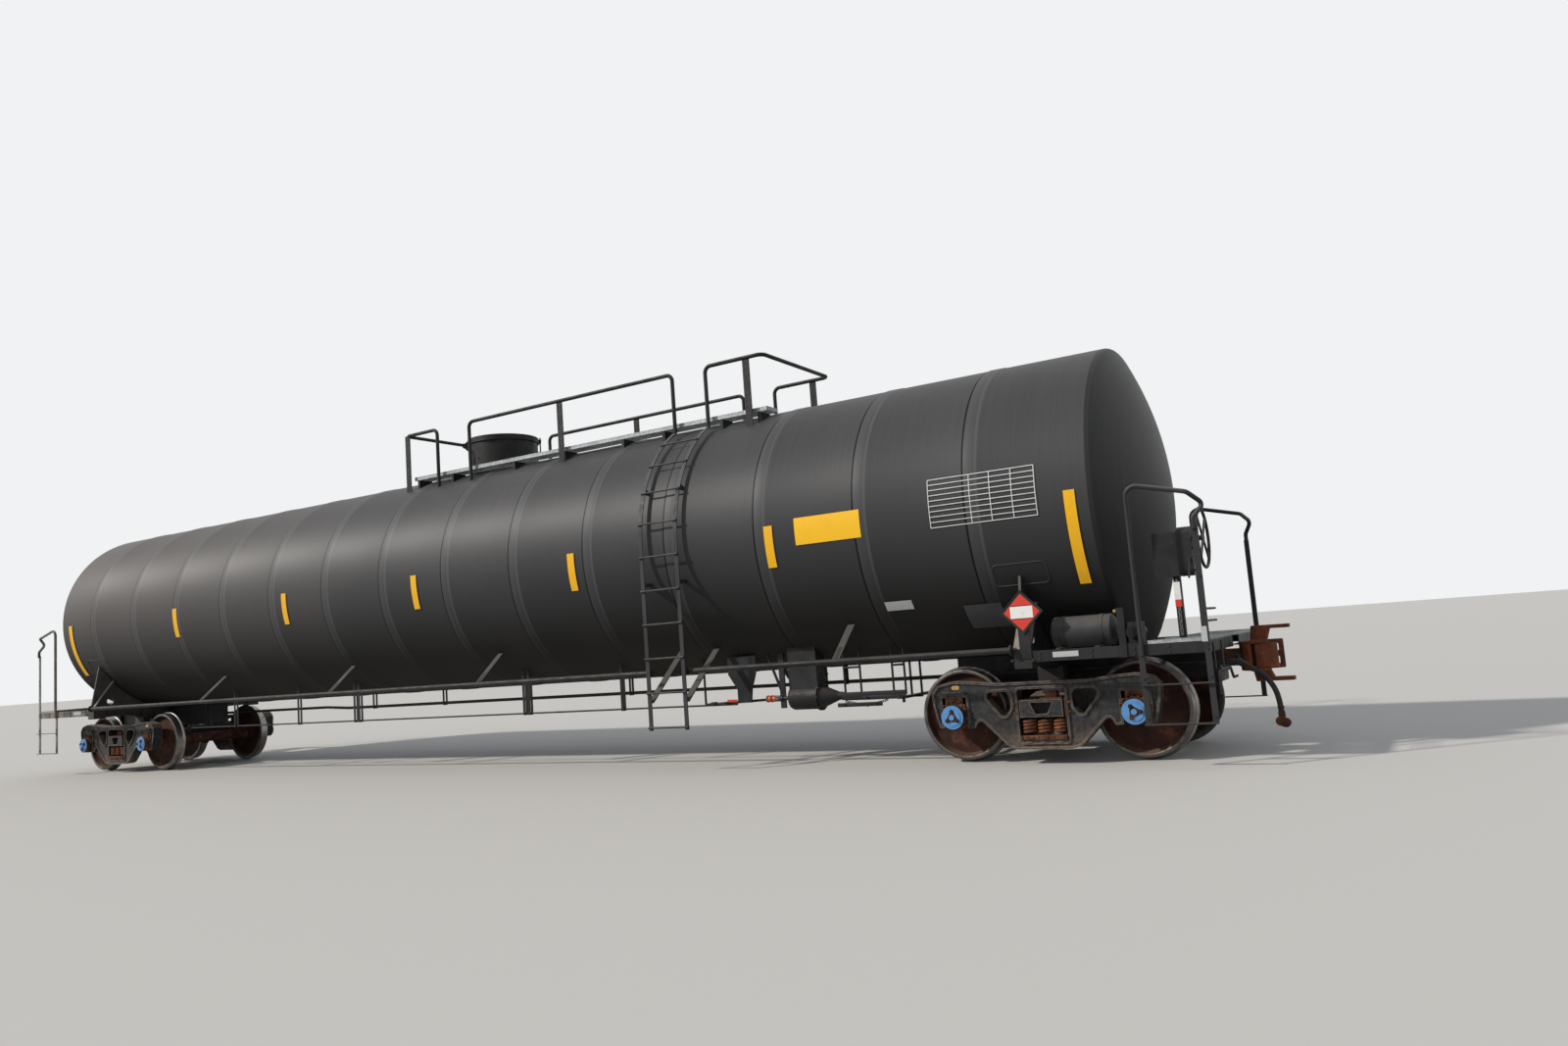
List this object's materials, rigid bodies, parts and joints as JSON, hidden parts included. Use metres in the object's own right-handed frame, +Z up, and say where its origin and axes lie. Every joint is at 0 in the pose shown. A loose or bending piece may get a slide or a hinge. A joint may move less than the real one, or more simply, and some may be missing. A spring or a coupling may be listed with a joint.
{
  "type": "railway tank car",
  "caption": "Long black railway pressure tank car on two sprung trucks, with top walkway, valve housing, side ladders and knuckle couplers.",
  "frame": {"origin": "under the middle of the car, at the lowest point of the wheel flanges", "axes": "+X along the car to its hand brake end, +Y across it, +Z up"},
  "size_m": [20.41, 3.272, 4.7094],
  "materials": {
    "tank_enamel": "satin enamel, dusty",
    "black_enamel": "satin enamel",
    "galvanised": "dull galvanised",
    "grey_stile": "weathered enamel",
    "rusty_steel": "rusted casting",
    "spring_steel": "rusted coil",
    "wheel_steel": "rolled steel, rusted plate and bright tread",
    "axle_steel": "rusted steel",
    "bearing_blue": "light blue enamel",
    "brass": "dull brass",
    "hose_rubber": "matt rubber",
    "placard": "red and white enamel on black"
  },
  "bodies": {
    "car_body": {"tank_shell": "tank_enamel", "stub_sills": "black_enamel", "body_bolsters": "black_enamel", "end_frames": "black_enamel", "crossing_boards": "galvanised", "corner_steps": "black_enamel", "ladder_stiles": "grey_stile", "ladder_rungs": "grey_stile", "side_pipes": "black_enamel", "top_walkway": "galvanised", "walkway_supports": "black_enamel", "top_handrails": "black_enamel", "protective_housing": "black_enamel", "valve_set": "brass", "air_reservoir": "black_enamel", "control_valve": "black_enamel", "brake_cylinder": "black_enamel", "brake_rods": "black_enamel", "brake_brackets": "black_enamel", "train_line": "black_enamel", "hand_brake": "black_enamel", "placard_holders": "placard", "uncoupling_levers": "black_enamel", "air_hose_a": "hose_rubber", "gladhand_a": "rusty_steel", "air_hose_b": "hose_rubber", "gladhand_b": "rusty_steel"},
    "housing_lid": {"housing_lid": "black_enamel"},
    "truck_a": {"side_frames_a": "rusty_steel", "truck_bolster_a": "rusty_steel", "truck_springs_a": "spring_steel", "bearings_a": "rusty_steel", "brake_beams_a": "rusty_steel"},
    "wheelset_1": {"wheels_1": "wheel_steel", "axle_1": "axle_steel"},
    "wheelset_2": {"wheels_2": "wheel_steel", "axle_2": "axle_steel"},
    "coupler_a": {"coupler_a": "rusty_steel"},
    "knuckle_a": {"knuckle_a": "rusty_steel"},
    "truck_b": {"side_frames_b": "rusty_steel", "truck_bolster_b": "rusty_steel", "truck_springs_b": "spring_steel", "bearings_b": "rusty_steel", "brake_beams_b": "rusty_steel"},
    "wheelset_3": {"wheels_3": "wheel_steel", "axle_3": "axle_steel"},
    "wheelset_4": {"wheels_4": "wheel_steel", "axle_4": "axle_steel"},
    "coupler_b": {"coupler_b": "rusty_steel"},
    "knuckle_b": {"knuckle_b": "rusty_steel"}
  },
  "joints": [
    {"name": "lid_hinge", "type": "hinge", "parent": "car_body", "child": "housing_lid", "pos_m": [-0.24749, -0.38749, 4.4844], "axis": [0.7071, -0.7071, 0], "range_deg": [0, 105]},
    {"name": "truck_a_swivel", "type": "hinge", "parent": "car_body", "child": "truck_a", "pos_m": [-8.077, 0, 0.6834], "axis": [0, 0, 1], "range_deg": [-8, 8]},
    {"name": "coupler_a_swing", "type": "hinge", "parent": "car_body", "child": "coupler_a", "pos_m": [-8.9, 0, 0.8904], "axis": [0, 0, 1], "range_deg": [-7, 7]},
    {"name": "knuckle_a_open", "type": "hinge", "parent": "coupler_a", "child": "knuckle_a", "pos_m": [-9.952, 0.132, 0.8904], "axis": [0, 0, -1], "range_deg": [0, 45]},
    {"name": "wheelset_1_roll", "type": "hinge", "parent": "truck_a", "child": "wheelset_1", "pos_m": [-8.966, 0, 0.4824], "axis": [0, 1, 0], "continuous": true},
    {"name": "wheelset_2_roll", "type": "hinge", "parent": "truck_a", "child": "wheelset_2", "pos_m": [-7.188, 0, 0.4824], "axis": [0, 1, 0], "continuous": true},
    {"name": "truck_b_swivel", "type": "hinge", "parent": "car_body", "child": "truck_b", "pos_m": [8.077, 0, 0.6834], "axis": [0, 0, 1], "range_deg": [-8, 8]},
    {"name": "coupler_b_swing", "type": "hinge", "parent": "car_body", "child": "coupler_b", "pos_m": [8.9, 0, 0.8904], "axis": [0, 0, 1], "range_deg": [-7, 7]},
    {"name": "knuckle_b_open", "type": "hinge", "parent": "coupler_b", "child": "knuckle_b", "pos_m": [9.952, -0.132, 0.8904], "axis": [0, 0, -1], "range_deg": [0, 45]},
    {"name": "wheelset_3_roll", "type": "hinge", "parent": "truck_b", "child": "wheelset_3", "pos_m": [7.188, 0, 0.4824], "axis": [0, 1, 0], "continuous": true},
    {"name": "wheelset_4_roll", "type": "hinge", "parent": "truck_b", "child": "wheelset_4", "pos_m": [8.966, 0, 0.4824], "axis": [0, 1, 0], "continuous": true}
  ]
}
